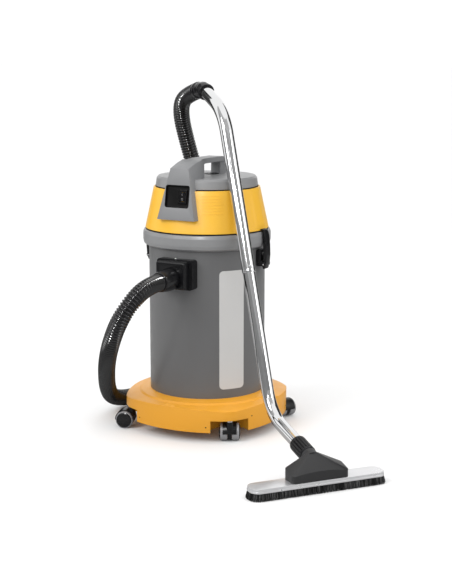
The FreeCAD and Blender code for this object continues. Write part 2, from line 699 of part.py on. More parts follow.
def make_hose(cuff_corner, cuff_end):
    onward = (cuff_end - cuff_corner).normalize()
    points = [Vector(*point) for point in HOSE_ROUTE] + [cuff_end + onward * 61, cuff_end]
    path, radii = tube_path(points)
    print("hose radii", [round(radius) for radius in radii])
    print("hose length", round(path.Length, 1))
    outer = swept(path, size("hose_diameter") / 2)
    inner = swept(path, size("hose_bore") / 2)
    tube = outer.cut(inner)
    section = math.pi * (size("hose_diameter") ** 2 - size("hose_bore") ** 2) / 4
    print("hose volume over section times length", round(tube.Volume / section / path.Length, 4))
    keep(solid("hose_tube", tube), "hose")


# ---------------------------------------------------------------- floor tool

def make_tool():
    place = wand_place()
    strip_top = size("bristle_length") + size("strip_thick")
    brush = doc.addObject("Part::Wedge", "brush_block")
    half_x = size("strip_width") / 2
    half_y = size("strip_length") / 2
    brush.Xmin, brush.Xmax = -half_x - 4, half_x + 4
    brush.Ymin, brush.Ymax = 0, size("bristle_length")
    brush.Zmin, brush.Zmax = -half_y - 5, half_y + 5
    brush.X2min, brush.X2max = -half_x + 3, half_x - 3
    brush.Z2min, brush.Z2max = -half_y + 4, half_y - 4
    brush.Placement = Placement(Vector(), Rotation(X_AXIS, 90))
    hollow = box("brush_hollow", 34, 350, 60, Vector())
    keep(moved(cut("brush_ring", brush, hollow), place), "tool_bristles")

    strip = box("strip_block", "strip_width", "strip_length", "strip_thick",
                Vector(0, 0, size("bristle_length") + size("strip_thick") / 2))
    strip = rounded("strip_ends", strip, 24, lambda edge: is_along(edge, Z_AXIS))
    mouth = box("strip_mouth", "mouth_width", "mouth_length", 60, Vector(0, 0, 20))
    keep(moved(cut("strip_cut", strip, mouth), place), "tool_strip")

    wall = size("tool_wall_height")
    block = box("tool_foot", "tool_width", "tool_length", "tool_wall_height",
                Vector(0, 0, strip_top + wall / 2))
    block = rounded("tool_foot_corners", block, 12, lambda edge: is_along(edge, Z_AXIS))
    entry, low_bend = [Vector(along, 0, up) for along, up in WAND_CORNERS[1:3]]
    neck_axis = (low_bend - entry).normalize()
    throat = entry - neck_axis * 96
    low = Part.makePolygon([Vector(-24, -80, strip_top + wall), Vector(24, -80, strip_top + wall),
                            Vector(24, 80, strip_top + wall), Vector(-24, 80, strip_top + wall),
                            Vector(-24, -80, strip_top + wall)])
    high = Part.makePolygon([Vector(-6, -24, 84), Vector(34, -22, 93), Vector(34, 22, 93),
                             Vector(-6, 24, 84), Vector(-6, -24, 84)])
    hip = solid("tool_hip", Part.makeLoft([low, high], True, True))
    neck = cylinder("tool_neck", "neck_radius", 60, throat, neck_axis)
    body = fuse("tool_solid", [block, hip, neck])
    bore = cylinder("tool_bore", "lower_radius + running_gap + 0.03", 110,
                    throat + neck_axis * 22, neck_axis)
    airway = cylinder("tool_airway", "lower_radius - 3", 60, throat, neck_axis)
    room = box("tool_mouth", "mouth_width", "mouth_length", 32, Vector(0, 0, strip_top))
    throat_room = box("tool_throat", "mouth_width", 40, 40, Vector(0, 0, strip_top + 10))
    cuts = fuse("tool_body_cuts", [bore, airway, room, throat_room])
    keep(moved(cut("tool_body_cut", body, cuts), place), "tool_body")

    grip_start = throat + neck_axis * 60
    grip = cylinder("grip_outer", "collar_grip_radius", 36, grip_start, neck_axis)
    bore = cylinder("grip_bore", "lower_radius + running_gap + 0.03", 60,
                    grip_start - neck_axis * 5, neck_axis)
    keep(moved(cut("grip_cut", grip, bore), place), "tool_collar")


# ---------------------------------------------------------------- latches

def make_latches():
    brackets = []
    pins = []
    for side, label in ((1, "right"), (-1, "left")):
        turn = Placement(Vector(), Rotation(Z_AXIS, 0 if side == 1 else 180))
        pivot = Vector(size("latch_pivot_x"), 0, size("latch_pivot_z"))
        height = size("bracket_top") - size("bracket_bottom")
        level = (size("bracket_top") + size("bracket_bottom")) / 2
        plate = box("bracket_plate_" + label, 30, "bracket_width", height,
                    Vector(170.5, 0, level))
        fit = cylinder("bracket_fit_" + label, "tank_radius", 200, Vector(0, 0, 400))
        plate = cut("bracket_back_" + label, plate, fit)
        ears = [box("bracket_ear_%s_%d" % (label, ear), 20, 3.5, 15,
                    Vector(190, ear * 15.25, size("latch_pivot_z") + 0.5)) for ear in (1, -1)]
        bracket = fuse("bracket_" + label, [plate] + ears)
        hole = cylinder("bracket_hole_" + label, "latch_pin", 60, pivot - Y_AXIS * 30, Y_AXIS)
        brackets.append(moved(cut("bracket_cut_" + label, bracket, hole), turn))
        pin = cylinder("latch_pin_" + label, "latch_pin", "bracket_width",
                       pivot - Y_AXIS * size("bracket_width") / 2, Y_AXIS)
        pins.append(moved(pin, turn))

        lever = extruded("lever_" + label, "XZ_Plane", [
            ("latch_pivot_x - 5.5", 488), ("latch_pivot_x - 2", 486.5),
            ("latch_pivot_x + 3", 486.5), ("latch_pivot_x + 11", 506), ("latch_pivot_x + 14", 530),
            ("latch_pivot_x + 13.5", 560), ("latch_pivot_x + 9", 585), (196, 596),
            (190, 596), (190, 500), ("latch_pivot_x - 5.5", 498)], "latch_width")
        bore = cylinder("lever_bore_" + label, "latch_pin + running_gap", 60,
                        pivot - Y_AXIS * 30, Y_AXIS)
        keep(moved(cut("lever_cut_" + label, lever, bore), turn), "latch_lever_" + label)
        hook = extruded("hook_" + label, "XZ_Plane", [
            (174, 597), (190, 597), (190, 596), (196, 596), (192, 603), (176, 603)],
            "latch_width - 2")
        keep(moved(hook, turn), "latch_hook_" + label)
    keep(fuse("bracket_pair", brackets), "latch_brackets")
    keep(fuse("pin_pair", pins), "latch_pins")


make_base()
for corner_name in CORNERS:
    make_caster(corner_name)
make_tank()
make_label()
make_head()
make_motor()
make_filter()
make_handle()
make_switch()
make_intake()
make_inlet()
wand_cuff_corner, wand_cuff_end = make_wand()
make_hose(wand_cuff_corner, wand_cuff_end)
make_tool()
make_latches()
doc.recompute()

for item in doc.Objects:
    if "Invalid" in item.State or "Error" in item.State:
        raise RuntimeError("%s failed: %s" % (item.Name, item.State))

os.makedirs("parts", exist_ok=True)
for item in nodes:
    if item.Shape.isNull() or not item.Shape.isValid():
        raise RuntimeError("bad shape: " + item.Label)
    item.Shape.exportStep("parts/%s.step" % item.Label)
print(len(nodes), "nodes")
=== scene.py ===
import json
import math
import random

import bmesh
import bpy
from mathutils import Matrix, Vector


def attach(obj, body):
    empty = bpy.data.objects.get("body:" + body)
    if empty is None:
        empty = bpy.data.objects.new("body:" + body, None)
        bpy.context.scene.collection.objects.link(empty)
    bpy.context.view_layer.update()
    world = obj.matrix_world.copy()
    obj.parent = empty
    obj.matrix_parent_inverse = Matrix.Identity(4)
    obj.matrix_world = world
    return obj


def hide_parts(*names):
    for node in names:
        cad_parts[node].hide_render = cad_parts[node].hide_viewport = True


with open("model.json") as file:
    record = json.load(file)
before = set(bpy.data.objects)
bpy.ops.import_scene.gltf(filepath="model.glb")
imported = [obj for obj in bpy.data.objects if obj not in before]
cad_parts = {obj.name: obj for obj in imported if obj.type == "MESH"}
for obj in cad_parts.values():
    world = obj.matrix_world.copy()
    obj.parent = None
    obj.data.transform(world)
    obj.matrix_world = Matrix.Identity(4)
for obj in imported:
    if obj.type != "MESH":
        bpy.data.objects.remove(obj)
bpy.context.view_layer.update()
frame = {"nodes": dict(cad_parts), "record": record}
MM = 0.001
ROOT = "vacuum"
Z_AXIS = Vector((0, 0, 1))

# ---------------------------------------------------------------- camera

CAMERA_TURN = 28.5
CAMERA_DIP = 10.7
camera_data = bpy.data.cameras.new("camera")
camera_data.lens = 80.7
camera = bpy.data.objects.new("camera", camera_data)
camera.location = (1.867, -3.322, 1.113)
camera.rotation_euler = (math.radians(90 - CAMERA_DIP), 0, math.radians(CAMERA_TURN))
bpy.context.scene.collection.objects.link(camera)
bpy.context.scene.camera = camera
bpy.context.scene.view_settings.view_transform = "Standard"

# ---------------------------------------------------------------- materials


class Nodes:
    """Small wrapper that builds one material's node tree."""

    def __init__(self, name):
        self.material = bpy.data.materials.new(name)
        self.material.use_nodes = True
        self.tree = self.material.node_tree
        self.shader = self.tree.nodes["Principled BSDF"]
        self.coords = self.add("ShaderNodeTexCoord").outputs["Object"]

    def add(self, kind, **values):
        node = self.tree.nodes.new(kind)
        for name, value in values.items():
            setattr(node, name, value)
        return node

    def link(self, source, target):
        self.tree.links.new(source, target)

    def noise(self, scale, detail=3.0, stretch=(1, 1, 1)):
        mapping = self.add("ShaderNodeMapping")
        mapping.inputs["Scale"].default_value = stretch
        self.link(self.coords, mapping.inputs["Vector"])
        noise = self.add("ShaderNodeTexNoise")
        noise.inputs["Scale"].default_value = scale
        noise.inputs["Detail"].default_value = detail
        self.link(mapping.outputs["Vector"], noise.inputs["Vector"])
        return noise.outputs["Fac"]

    def spread(self, source, low, high, source_low=0.3, source_high=0.7):
        node = self.add("ShaderNodeMapRange")
        node.inputs["From Min"].default_value = source_low
        node.inputs["From Max"].default_value = source_high
        node.inputs["To Min"].default_value = low
        node.inputs["To Max"].default_value = high
        self.link(source, node.inputs["Value"])
        return node.outputs["Result"]

    def colours(self, source, dark, light):
        ramp = self.add("ShaderNodeValToRGB")
        ramp.color_ramp.elements[0].position = 0.3
        ramp.color_ramp.elements[1].position = 0.7
        ramp.color_ramp.elements[0].color = (*dark, 1)
        ramp.color_ramp.elements[1].color = (*light, 1)
        self.link(source, ramp.inputs["Fac"])
        self.link(ramp.outputs["Color"], self.shader.inputs["Base Color"])

    def bump(self, source, strength, distance):
        node = self.add("ShaderNodeBump")
        node.inputs["Strength"].default_value = strength
        node.inputs["Distance"].default_value = distance
        self.link(source, node.inputs["Height"])
        self.link(node.outputs["Normal"], self.shader.inputs["Normal"])


def shade(colour, factor):
    return tuple(min(1.0, part * factor) for part in colour)


def surface(name, colour, rough, vary=0.05, rough_vary=0.05, metallic=0.0, coat=0.0,
            grain=900.0, relief=0.15, stretch=(1, 1, 1), broad=7.0, shine=0.5):
    """One finished material: slow colour drift, uneven gloss and a fine grain in relief."""
    made = Nodes(name)
    made.shader.inputs["Metallic"].default_value = metallic
    made.shader.inputs["Coat Weight"].default_value = coat
    made.shader.inputs["Specular IOR Level"].default_value = shine
    made.shader.inputs["Coat Roughness"].default_value = 0.12
    made.colours(made.noise(broad, 4.0), shade(colour, 1 - vary), shade(colour, 1 + vary))
    made.link(made.spread(made.noise(38.0, 5.0, stretch), rough - rough_vary, rough + rough_vary),
              made.shader.inputs["Roughness"])
    made.bump(made.noise(grain, 2.0, stretch), relief, 0.0002)
    return made.material


MATERIALS = {
    "yellow_plastic": surface("yellow_plastic", (0.90, 0.495, 0.036), 0.34, 0.02, shine=0.4),
    # a darker, more orange copy of the yellow plastic for the dolly base: the orange is the base's
    # tone, the darkening is painted shade for the dim light on its sides
    "base_yellow_painted_shade": surface("base_yellow_painted_shade", (0.84, 0.38, 0.030), 0.36, 0.02, shine=0.4),
    "tank_grey": surface("tank_grey", (0.138, 0.139, 0.141), 0.34, 0.015, grain=1400),
    "label_plate": surface("label_plate", (0.60, 0.595, 0.585), 0.5, 0.01, grain=2200,
                           relief=0.06),
    "light_grey_plastic": surface("light_grey_plastic", (0.25, 0.252, 0.256), 0.36, 0.02),
    "handle_grey": surface("handle_grey", (0.215, 0.218, 0.224), 0.42, 0.02, relief=0.25),
    "black_rubber": surface("black_rubber", (0.008, 0.008, 0.008), 0.7, shine=0.2),
    "black_plastic": surface("black_plastic", (0.008, 0.008, 0.009), 0.3, 0.1, shine=0.3),
    "gloss_black_plastic": surface("gloss_black_plastic", (0.006, 0.006, 0.007), 0.22, 0.1,
                                   shine=0.35),
    "motor_case": surface("motor_case", (0.06, 0.06, 0.065), 0.45, 0.1),
    "motor_iron": surface("motor_iron", (0.18, 0.17, 0.17), 0.55, 0.2, metallic=0.8,
                          grain=300, stretch=(1, 1, 30)),
    "motor_steel": surface("motor_steel", (0.5, 0.5, 0.5), 0.35, 0.1, metallic=1.0,
                           stretch=(1, 1, 20)),
    "fan_aluminium": surface("fan_aluminium", (0.65, 0.65, 0.66), 0.35, 0.05, metallic=1.0),
    "white_plastic": surface("white_plastic", (0.62, 0.62, 0.58), 0.45),
    "filter_cloth": surface("filter_cloth", (0.55, 0.53, 0.47), 0.9, 0.1, grain=1500,
                            relief=0.8),
    "bright_steel": surface("bright_steel", (0.72, 0.72, 0.73), 0.16, 0.04, metallic=1.0),
    "hose_black": surface("hose_black", (0.004, 0.004, 0.0045), 0.16, 0.05, 0.03, grain=600,
                          relief=0.05, shine=0.7),
    "chromed_tube": surface("chromed_tube", (0.77, 0.775, 0.78), 0.05, 0.01, 0.02,
                            metallic=1.0, grain=260, relief=0.012, broad=14),
    "charcoal_plastic": surface("charcoal_plastic", (0.022, 0.022, 0.023), 0.38, 0.1,
                                relief=0.3, shine=0.4),
    "strip_aluminium": surface("strip_aluminium", (0.74, 0.74, 0.75), 0.30, 0.03, metallic=0.7,
                               grain=500, relief=0.1, stretch=(1, 0.05, 1)),
    "bristle_fibre": surface("bristle_fibre", (0.010, 0.010, 0.010), 0.5, 0.4, broad=400,
                             shine=0.3),
    "bristle_pale": surface("bristle_pale", (0.15, 0.15, 0.15), 0.4, 0.5, broad=400),
    "wheel_plastic": surface("wheel_plastic", (0.008, 0.008, 0.009), 0.26, 0.1, shine=0.4),
    "wheel_tread": surface("wheel_tread", (0.30, 0.30, 0.31), 0.4, 0.1),
    "recess_black": surface("recess_black", (0.003, 0.003, 0.003), 0.5, 0.1, shine=0.15),
    "mark_white": surface("mark_white", (0.22, 0.22, 0.22), 0.5),
}

NODE_SLOT = {part["node"]: part["material_slot"] for part in frame["record"]["subparts"]}
for node_name, node in frame["nodes"].items():
    for material_slot in node.material_slots:
        material_slot.material = MATERIALS[NODE_SLOT[node_name]]

# ---------------------------------------------------------------- mesh helpers

WELD_DISTANCE = 2e-6
FLAT_ANGLE = math.radians(0.6)


def rounded(points, closed=True, steps=6):
    """Corners (a, b, radius) as a polyline with each corner rounded; millimetres."""
    chain = []
    count = len(points)
    for i, (a, b, radius) in enumerate(points):
        here = Vector((a, b, 0))
        if radius <= 0 or (not closed and i in (0, count - 1)):
            chain.append((a, b))
            continue
        back = Vector((*points[i - 1][:2], 0)) - here
        ahead = Vector((*points[(i + 1) % count][:2], 0)) - here
        turn = math.pi - back.angle(ahead)
        reach = min(radius * math.tan(turn / 2), 0.49 * back.length, 0.49 * ahead.length)
        radius = reach / math.tan(turn / 2)
        centre = here + (back.normalized() + ahead.normalized()).normalized() \
            * math.hypot(radius, reach)
        start = here + back.normalized() * reach - centre
        end = here + ahead.normalized() * reach - centre
        for k in range(steps + 1):
            spot = centre + start.slerp(end, k / steps) * radius
            chain.append((spot.x, spot.y))
    return chain


def finish_mesh(name, body, slot, mesh_data, replaces=(), sharp=38, material=None):
    """Bmesh to object: outward normals, smooth shading, material, body and replaced nodes."""
    bmesh.ops.recalc_face_normals(mesh_data, faces=mesh_data.faces)
    mesh = bpy.data.meshes.new(name)
    mesh_data.to_mesh(mesh)
    mesh_data.free()
    mesh.shade_smooth()
    mesh.set_sharp_from_angle(angle=math.radians(sharp))
    mesh.materials.append(MATERIALS[material or slot])
    piece = bpy.data.objects.new(name, mesh)
    bpy.context.scene.collection.objects.link(piece)
    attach(piece, body)
    if replaces:
        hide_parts(*replaces)
    return piece


def bridge(mesh, first, second, closed=True):
    """Quads between two rings of vertices; a ring may be a single vertex."""
    count = max(len(first), len(second))
    for k in range(count if closed else count - 1):
        corners = [first[k % len(first)], first[(k + 1) % len(first)],
                   second[(k + 1) % len(second)], second[k % len(second)]]
        corners = list(dict.fromkeys(corners))
        if len(corners) > 2:
            mesh.faces.new(corners)


def add_lathe(mesh, profile, place=Matrix(), steps=144, shape=None):
    """Closed profile of (radius, height) turned about Z; shape(angle, radius, height) may
    change a radius.  Millimetres."""
    rings = []
    for radius, height in profile:
        if radius < 1e-6:
            rings.append([mesh.verts.new(place @ (Vector((0, 0, height)) * MM))])
            continue
        ring = []
        for k in range(steps):
            angle = 2 * math.pi * k / steps
            reach = shape(angle, radius, height) if shape else radius
            ring.append(mesh.verts.new(
                place @ (Vector((reach * math.cos(angle), reach * math.sin(angle), height)) * MM)))
        rings.append(ring)
    for first, second in zip(rings, rings[1:] + rings[:1]):
        bridge(mesh, first, second)


def lathe(name, body, slot, profile, replaces=(), place=Matrix(), steps=144, shape=None,
          material=None):
    mesh = bmesh.new()
    add_lathe(mesh, profile, place, steps, shape)
    return finish_mesh(name, body, slot, mesh, replaces, material=material)


def add_plate(mesh, outline, low, high, place=Matrix()):
    """Outline in local X and Y from height low to high, millimetres."""
    rings = [[mesh.verts.new(place @ (Vector((a, b, level)) * MM)) for a, b in outline]
             for level in (low, high)]
    bridge(mesh, *rings)
    mesh.faces.new(rings[0][::-1])
    mesh.faces.new(rings[1])


def bevelled(piece, width, segments=3, angle=32):
    """Round the hard edges of a piece, applied to its mesh."""
    modifier = piece.modifiers.new("round", "BEVEL")
    modifier.width = width * MM
    modifier.segments = segments
    modifier.limit_method = "ANGLE"
    modifier.angle_limit = math.radians(angle)
    modifier.use_clamp_overlap = True
    modifier.harden_normals = False
    made = bpy.data.meshes.new_from_object(
        piece.evaluated_get(bpy.context.evaluated_depsgraph_get()))
    piece.modifiers.clear()
    piece.data = made
    made.shade_smooth()
    made.set_sharp_from_angle(angle=math.radians(40))
    return piece


def plate(name, body, slot, outline, low, high, place, replaces, round_width):
    mesh = bmesh.new()
    add_plate(mesh, outline, low, high, place)
    return bevelled(finish_mesh(name, body, slot, mesh, replaces), round_width)


def softened(node_name, body, width, segments=3, material=None):
    """A copy of a CAD node with its hard edges rounded, which stands for the node."""
    source = frame["nodes"][node_name]
    mesh = bmesh.new()
    mesh.from_mesh(source.data)
    mesh.transform(source.matrix_world)
    bmesh.ops.remove_doubles(mesh, verts=mesh.verts, dist=WELD_DISTANCE)
    bmesh.ops.dissolve_limit(mesh, angle_limit=FLAT_ANGLE, verts=mesh.verts, edges=mesh.edges)
    piece = finish_mesh(node_name + "_shaped", body, NODE_SLOT[node_name], mesh,
                        (node_name,), material=material)
    return bevelled(piece, width, segments)


def add_tube(mesh, points, radius_at, sides, side_shape=None):
    """Round bar along points (metres); radius_at(length) in millimetres.  side_shape(angle,
    length) adds to the radius at that angle."""
    rings = []
    across = None
    length = 0.0
    for i, point in enumerate(points):
        ahead = (points[min(i + 1, len(points) - 1)] - points[max(i - 1, 0)]).normalized()
        if across is None:
            across = ahead.orthogonal().normalized()
        across = (across - ahead * across.dot(ahead)).normalized()
        other = ahead.cross(across)
        if i:
            length += (point - points[i - 1]).length
        radius = radius_at(length) * MM
        ring = []
        for k in range(sides):
            angle = 2 * math.pi * k / sides
            reach = radius + (side_shape(angle, length) * MM if side_shape else 0)
            ring.append(mesh.verts.new(
                point + across * (reach * math.cos(angle)) + other * (reach * math.sin(angle))))
        rings.append(ring)
    for first, second in zip(rings, rings[1:]):
        bridge(mesh, first, second)
    mesh.faces.new(rings[0][::-1])
    mesh.faces.new(rings[-1])


def filleted(points, radii, steps=20):
    """Polyline in space whose inner corners are arcs of the stated radii, metres."""
    chain = [points[0]]
    for before, corner, after, radius in zip(points, points[1:], points[2:], radii):
        back = (before - corner).normalized()
        ahead = (after - corner).normalized()
        turn = math.pi - back.angle(ahead)
        reach = radius * math.tan(turn / 2)
        centre = corner + (back + ahead).normalized() * math.hypot(radius, reach)
        start = corner + back * reach - centre
        end = corner + ahead * reach - centre
        chain += [centre + start.slerp(end, k / steps) * radius for k in range(steps + 1)]
    return chain + [points[-1]]


def resampled(points, step):
    """The same polyline with points at an even spacing."""
    total = sum((b - a).length for a, b in zip(points, points[1:]))
    count = max(2, round(total / step))
    wanted = [total * i / count for i in range(count + 1)]
    result = []
    done = 0.0
    i = 0
    for target in wanted:
        while i < len(points) - 2 and done + (points[i + 1] - points[i]).length < target:
            done += (points[i + 1] - points[i]).length
            i += 1
        run = (points[i + 1] - points[i]).length
        result.append(points[i].lerp(points[i + 1], min(1.0, max(0.0, (target - done) / run))))
    return result


def smoothed(points):
    """Corners eased by two rounds of averaging with the neighbours."""
    for _ in range(2):
        points = [points[0]] + [(a + b * 2 + c) / 4 for a, b, c in
                                zip(points, points[1:], points[2:])] + [points[-1]]
    return points


def step_between(value, low, high):
    """0 below low, 1 above high, and a smooth step between them."""
    t = min(1.0, max(0.0, (value - low) / (high - low)))
    return t * t * (3 - 2 * t)


# ---------------------------------------------------------------- wand's plane

WAND_FOOT = Vector((551.5, -416.3, 0)) * MM
WAND_TURN = math.radians(141.65)
WAND_PLACE = Matrix.Translation(WAND_FOOT) @ Matrix.Rotation(WAND_TURN, 4, "Z")


def on_wand(along, up, side=0.0):
    """Place on the upright plane that holds the wand, millimetres from its foot."""
    return WAND_PLACE @ (Vector((along, side, up)) * MM)


WAND_FOOT_END = on_wand(50, 77.5)
WAND_ENTRY = on_wand(120, 93)
WAND_LOW = on_wand(274, 127)
WAND_HIGH = on_wand(605, 929)
WAND_TOP = on_wand(731, 976)
CUFF_BEND = on_wand(759, 986.5)
CUFF_END = on_wand(800, 979)
WAND_JOINT = WAND_LOW.lerp(WAND_HIGH, 0.455)
WAND_RUN = (WAND_HIGH - WAND_LOW).normalized()

# ---------------------------------------------------------------- hose

HOSE_POINTS = [
    (0, -0.262, 0.465), (0, -0.331, 0.465), (-0.017, -0.387, 0.430), (-0.048, -0.408, 0.372),
    (-0.090, -0.386, 0.300), (-0.144, -0.323, 0.232), (-0.200, -0.243, 0.168),
    (-0.251, -0.162, 0.106), (-0.292, -0.079, 0.054), (-0.303, 0.009, 0.027),
    (-0.280, 0.101, 0.026), (-0.243, 0.191, 0.026), (-0.206, 0.270, 0.052),
    (-0.174, 0.320, 0.112), (-0.154, 0.330, 0.205), (-0.144, 0.316, 0.325),
    (-0.144, 0.286, 0.470), (-0.151, 0.253, 0.610), (-0.166, 0.222, 0.725),
    (-0.179, 0.192, 0.822), (-0.182, 0.163, 0.898), (-0.164, 0.138, 0.946)]
HOSE_DIAMETER = 0.050
HOSE_RUN_OUT = 0.061
RIB_PITCH = 0.0085
RIB_DEPTH = 4.2


def hose_centre_line():
    """Smooth line through the hose's points, ending straight inside the wand's cuff."""
    onward = (CUFF_END - CUFF_BEND).normalized()
    route = [Vector(point) for point in HOSE_POINTS] + [CUFF_END + onward * HOSE_RUN_OUT, CUFF_END]
    curve = bpy.data.curves.new("hose_line", "CURVE")
    curve.dimensions = "3D"
    spline = curve.splines.new("NURBS")
    spline.points.add(len(route) - 1)
    for place, point in zip(spline.points, route):
        place.co = (*point, 1)
    spline.order_u = 3
    spline.use_endpoint_u = True
    spline.resolution_u = 24
    holder = bpy.data.objects.new("hose_line", curve)
    bpy.context.scene.collection.objects.link(holder)
    line = bpy.data.meshes.new_from_object(
        holder.evaluated_get(bpy.context.evaluated_depsgraph_get()))
    points = [vertex.co.copy() for vertex in line.vertices]
    bpy.data.objects.remove(holder)
    return points


hose_line = hose_centre_line()


def hose_radius(length):
    """Rounded ribs with narrow grooves between them."""
    wave = 0.5 - 0.5 * math.cos(2 * math.pi * length / RIB_PITCH)
    return HOSE_DIAMETER / 2 / MM - RIB_DEPTH * wave ** 1.5


hose_mesh = bmesh.new()
add_tube(hose_mesh, smoothed(resampled(hose_line, RIB_PITCH / 9)), hose_radius, sides=40)
hose = finish_mesh("hose_ribbed", ROOT, "hose_black", hose_mesh, ("hose",), sharp=80)
resampled(hose_line, 0.01)

# ---------------------------------------------------------------- tank and collar

lathe("tank_drum", ROOT, "tank_grey", rounded([
    (0, 100, 0), (170, 100, 8), (170, 560, 0), (167.5, 560, 0), (167.5, 103, 5.5),
    (0, 103, 0)], closed=False), ("tank",), steps=192)
lathe("collar_ring", ROOT, "light_grey_plastic", rounded([
    (170.1, 541, 0.5), (177, 541, 2), (184.5, 545.5, 4), (187, 556, 8), (187, 576, 5),
    (184, 586, 3.5), (160, 587, 0.5), (160, 560, 0.5), (170.1, 560, 0.5)]),
    ("tank_collar",), steps=192)

# ---------------------------------------------------------------- motor head

SKIRT_FOOT_RADIUS, SKIRT_FOOT, SKIRT_SLOPE = 180.5, 590, 25.5 / 119
LOUVRE_AZIMUTHS = (21, 47)
LOUVRE_COUNT, LOUVRE_LOWEST, LOUVRE_PITCH, LOUVRE_STEPS = 7, 646, 8.2, 24
SLOT_COUNT, SLOT_PITCH = 5, 9
GRID_RADIUS, GRID_PITCH = 20.5, 3.6


def skirt_shape(angle, radius, height):
    """Soft raised bosses above the two latches."""
    if radius < 150 or height < 598:
        return radius
    away = abs(math.degrees(math.asin(max(-1, min(1, math.sin(angle))))))
    boss = 1 - step_between(away, 7.5 - (height - 600) * 0.02, 10.5)
    fade = 1 - step_between(height, 672, 696)
    return radius + 1.6 * boss * fade


lathe("skirt_cone", ROOT, "yellow_plastic", rounded([
    (177.3, 590.2, 0.4), (180.5, 590.2, 0.8), (179.0, 597, 0), (178.0, 602, 0),
    (175.5, 614, 0), (170.2, 638, 0), (165.0, 662.5, 0), (160.0, 685.5, 0),
    (155.2, 708.9, 1.2), (138.5, 708.9, 0), (138.5, 706, 0),
    (152.2, 706, 1)]), ("head_skirt",), steps=288, shape=skirt_shape)

mesh = bmesh.new()
for number in range(LOUVRE_COUNT):
    level = LOUVRE_LOWEST + LOUVRE_PITCH * number
    rings = []
    for k in range(LOUVRE_STEPS + 1):
        share = k / LOUVRE_STEPS
        azimuth = math.radians(
            LOUVRE_AZIMUTHS[0] + share * (LOUVRE_AZIMUTHS[1] - LOUVRE_AZIMUTHS[0]) - 90)
        fade = min(1.0, 6 * share, 6 * (1 - share))
        ring = []
        for lift, rise in ((-0.4, -1.3), (0.75, -0.8), (0.75, 0.8), (-0.4, 1.3)):
            height = level + rise
            radius = SKIRT_FOOT_RADIUS - (height - SKIRT_FOOT) * SKIRT_SLOPE \
                + max(-0.4, lift * fade)
            ring.append(mesh.verts.new(Vector((
                radius * math.cos(azimuth), radius * math.sin(azimuth), height)) * MM))
        rings.append(ring)
    for first, second in zip(rings, rings[1:]):
        bridge(mesh, first, second)
    mesh.faces.new(rings[0])
    mesh.faces.new(rings[-1])
finish_mesh("skirt_louvres", ROOT, "yellow_plastic", mesh)

lathe("cap_dome", ROOT, "light_grey_plastic", rounded([
    (0, 738.5, 0), (60, 738.5, 0), (139, 737.3, 1), (142.5, 733, 1), (146.5, 711.7, 0.4),
    (149.5, 711.7, 0.6), (149.3, 713.5, 0.5), (146.1, 734.6, 1.0), (141.2, 740.2, 1.0),
    (60, 741.5, 30), (0, 741.5, 0)], closed=False), ("head_cap",), steps=192)

mesh = bmesh.new()
for number in range(SLOT_COUNT):
    near, far = -15.2 + SLOT_PITCH * number, -12.8 + SLOT_PITCH * number
    outline = rounded([(-48, near, 1.1), (-20, near, 1.1), (-20, far, 1.1), (-48, far, 1.1)],
                      steps=3)
    add_plate(mesh, outline, 740.6, 741.75)
finish_mesh("cap_slots", ROOT, "black_rubber", mesh)

mesh = bmesh.new()
add_lathe(mesh, rounded([(0, 741.2, 0), (23, 741.2, 0), (23, 743, 0.8), (20.5, 743, 0.4),
                         (20.5, 742, 0), (0, 742, 0)], closed=False),
          Matrix.Translation((0, 0.027, 0)), 64)
for number in range(-5, 6):
    middle = GRID_PITCH * number
    half = math.sqrt(max(0.0, GRID_RADIUS ** 2 - middle ** 2))
    for turn in (0, 90):
        place = Matrix.Translation((0, 0.027, 0)) @ Matrix.Rotation(math.radians(turn), 4, "Z")
        add_plate(mesh, [(middle - 0.6, -half), (middle + 0.6, -half),
                         (middle + 0.6, half), (middle - 0.6, half)], 741.9, 742.9, place)
finish_mesh("intake_grid", ROOT, "black_plastic", mesh, ("intake_mesh",))

softened("carry_handle", ROOT, 3.0, 4)
# the dolly base takes the darker yellow copy, so the shade on its sides is painted into its colour
softened("dolly_base", ROOT, 1.5, 3, material="base_yellow_painted_shade")

BOW_CENTRE, BOW_RADIUS = 107, 333
mesh = bmesh.new()
for azimuth, level in ((-62, 46), (-28, 70), (-118, 46), (-152, 70), (28, 46), (62, 70),
                       (118, 46), (152, 70)):
    # each side of the base bows out round a centre on its far side, so the screw heads
    # sit at the reach where their direction meets that arc
    turn = math.radians(azimuth)
    nearest = round(azimuth / 90) * 90
    offset = math.radians(azimuth - nearest)
    reach = -BOW_CENTRE * math.cos(offset) \
        + math.sqrt(BOW_RADIUS ** 2 - (BOW_CENTRE * math.sin(offset)) ** 2)
    place = Matrix.Rotation(turn, 4, "Z") @ Matrix.Translation((reach * MM, 0, level * MM)) \
        @ Matrix.Rotation(math.radians(90), 4, "Y")
    add_lathe(mesh, rounded([(0, -1, 0), (1.9, -1, 0), (1.9, 0.5, 0.3), (0, 0.5, 0)],
                            closed=False), place, 20)
finish_mesh("base_screw_heads", ROOT, "black_rubber", mesh)

# ---------------------------------------------------------------- switch

